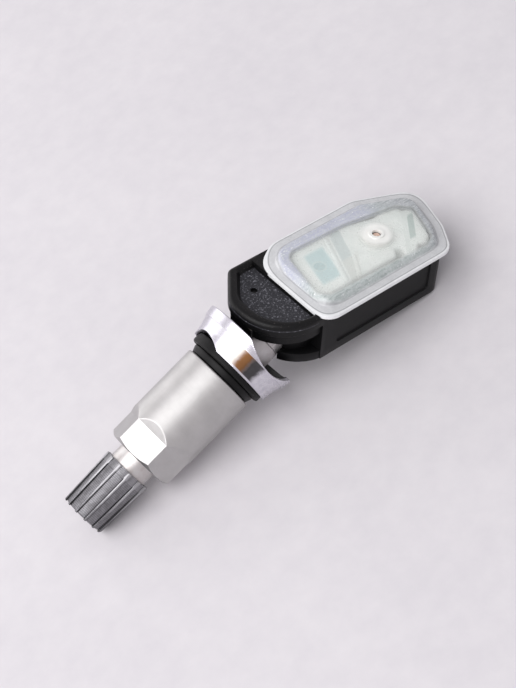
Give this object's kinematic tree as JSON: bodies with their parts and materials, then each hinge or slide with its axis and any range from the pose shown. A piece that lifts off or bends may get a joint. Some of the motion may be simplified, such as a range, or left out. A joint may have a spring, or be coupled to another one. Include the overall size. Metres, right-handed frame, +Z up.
{
  "type": "tyre pressure sensor with clamp-in metal valve",
  "caption": "Tyre pressure sensor: black potted housing with a clear cover, on a swivelling clamp-in metal valve with saddle, grommet, sleeve nut and ribbed cap.",
  "frame": {"origin": "on the floor under the middle of the part's box, with the part lying on the end of its cap and the lower edge of its tail", "axes": "+X from the cap towards the sensor's tail, +Y across towards the housing's far side, +Z up"},
  "size_m": [0.0934, 0.0234, 0.0245],
  "materials": {
    "housing_plastic": "black moulded plastic, satin",
    "cover_plastic": "clear thin moulded plastic, glossy and slightly wavy",
    "carrier_plastic": "pale milky green plastic",
    "board": "solder resist",
    "cell_steel": "plain steel",
    "contact_tin": "tinned strip",
    "copper": "bare copper",
    "pale_rubber": "soft white silicone",
    "chip_plastic": "moulded chip package",
    "window_plastic": "bluish green resin",
    "ferrite": "dull dark ferrite",
    "bright_nickel": "bright nickel plate",
    "cast_metal": "plain cast metal",
    "stem_metal": "turned and anodised",
    "nut_metal": "fine bead-blasted, satin anodised",
    "black_rubber": "black rubber",
    "ring_plastic": "black low-friction plastic",
    "core_brass": "plain brass",
    "core_seal": "red core seal",
    "cap_plastic": "grey moulded plastic with a metallic sheen"
  },
  "bodies": {
    "sensor": {"housing": "housing_plastic", "cover": "cover_plastic", "carrier": "carrier_plastic", "circuit_board": "board", "coin_cell": "cell_steel", "cell_tab_top": "contact_tin", "cell_tab_bottom": "contact_tin", "pressure_cell": "copper", "port_gasket": "pale_rubber", "sensor_chip": "window_plastic", "chip_ring": "window_plastic", "radio_chip": "chip_plastic", "crystal": "cell_steel", "coil_core": "ferrite", "coil_winding": "copper", "loop_antenna": "contact_tin", "capacitors": "chip_plastic"},
    "valve": {"swivel_foot": "cast_metal", "saddle": "bright_nickel", "valve_stem": "stem_metal", "rubber_grommet": "black_rubber", "core_plug": "core_brass", "core_barrel": "core_brass", "core_gasket": "core_seal", "core_spring": "cell_steel"},
    "core_pin": {"core_pin": "core_brass", "core_cup": "black_rubber"},
    "slip_ring": {"slip_ring": "ring_plastic"},
    "nut": {"sleeve_nut": "nut_metal"},
    "cap_seal": {"cap_seal": "black_rubber"},
    "cap": {"valve_cap": "cap_plastic"}
  },
  "joints": [
    {"name": "valve_tilt", "type": "hinge", "parent": "sensor", "child": "valve", "pos_m": [0.00576, 0.00098, 0.01489], "axis": [-0.0254, -0.9959, -0.0871], "range_deg": [0, 12]},
    {"name": "ring_slide", "type": "slide", "parent": "valve", "child": "slip_ring", "axis": [-0.9797, 0.0422, -0.1962], "range_m": [0, 0.0024]},
    {"name": "nut_turn", "type": "hinge", "parent": "slip_ring", "child": "nut", "pos_m": [-0.00991, 0.00166, 0.01175], "axis": [-0.9797, 0.0422, -0.1962], "range_deg": [0, 864]},
    {"name": "cap_slide", "type": "slide", "parent": "valve", "child": "cap_seal", "axis": [-0.9797, 0.0422, -0.1962], "range_m": [0, 0.00794]},
    {"name": "cap_turn", "type": "hinge", "parent": "cap_seal", "child": "cap", "pos_m": [-0.03391, 0.00269, 0.00694], "axis": [-0.9797, 0.0422, -0.1962], "range_deg": [0, 3600]},
    {"name": "pin_press", "type": "slide", "parent": "valve", "child": "core_pin", "axis": [0.9797, -0.0422, 0.1962], "range_m": [0, 0.0012], "stiffness_N_per_m": 600, "springref_m": -0.001, "deforming": ["core_spring"]}
  ],
  "couplings": [
    {"joint": "ring_slide", "follows": "nut_turn", "m_per_rad": 0.00015915},
    {"joint": "cap_turn", "follows": "cap_slide", "rad_per_m": 7913.3}
  ]
}
